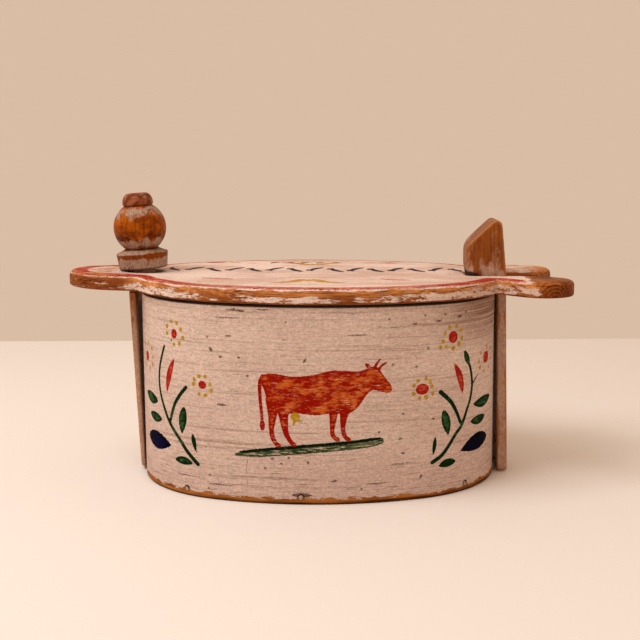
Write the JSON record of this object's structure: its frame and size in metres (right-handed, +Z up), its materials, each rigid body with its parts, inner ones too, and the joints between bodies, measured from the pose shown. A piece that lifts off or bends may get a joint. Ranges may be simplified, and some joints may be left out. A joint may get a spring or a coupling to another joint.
{
  "type": "bentwood box",
  "caption": "Oval bentwood box with a flat board lid that tilts on a knobbed post at one end and snaps under a springy catch post at the other.",
  "frame": {"origin": "middle of the underside, on the bottom board's lower face", "axes": "+X along the length towards the catch post, -Y towards the painted front, +Z up"},
  "size_m": [0.3336, 0.1824, 0.1899],
  "materials": {
    "painted_band": "worn off-white milk paint",
    "painted_lid": "worn off-white milk paint, bare at the edges",
    "bare_post": "bare and rubbed, with remains of paint",
    "turned_knob": "turned, with worn paint",
    "pale_wood": "bare, planed",
    "peg_wood": "bare end grain",
    "root_lacing": "split root, polished by handling"
  },
  "bodies": {
    "box": {"bentwood_band": "painted_band", "lap_lacing": "root_lacing", "bottom_board": "pale_wood", "bottom_pegs": "peg_wood", "hinge_post": "bare_post", "hinge_post_pegs": "peg_wood", "knob": "turned_knob", "catch_post_pegs": "peg_wood"},
    "lid": {"lid_board": "painted_lid"},
    "catch": {"catch_post": "bare_post"}
  },
  "joints": [
    {"name": "lid_tilt", "type": "hinge", "parent": "box", "child": "lid", "pos_m": [-0.1195, 0, 0.12604], "axis": [0, -1, 0], "range_deg": [0, 10]},
    {"name": "catch_flex", "type": "hinge", "parent": "box", "child": "catch", "pos_m": [0.1245, 0, 0.018], "axis": [0, 1, 0], "range_deg": [0, 3.4], "stiffness_Nm_per_rad": 8}
  ],
  "couplings": [
    {"joint": "catch_flex", "follows": "lid_tilt", "ratio": 0.33333}
  ]
}
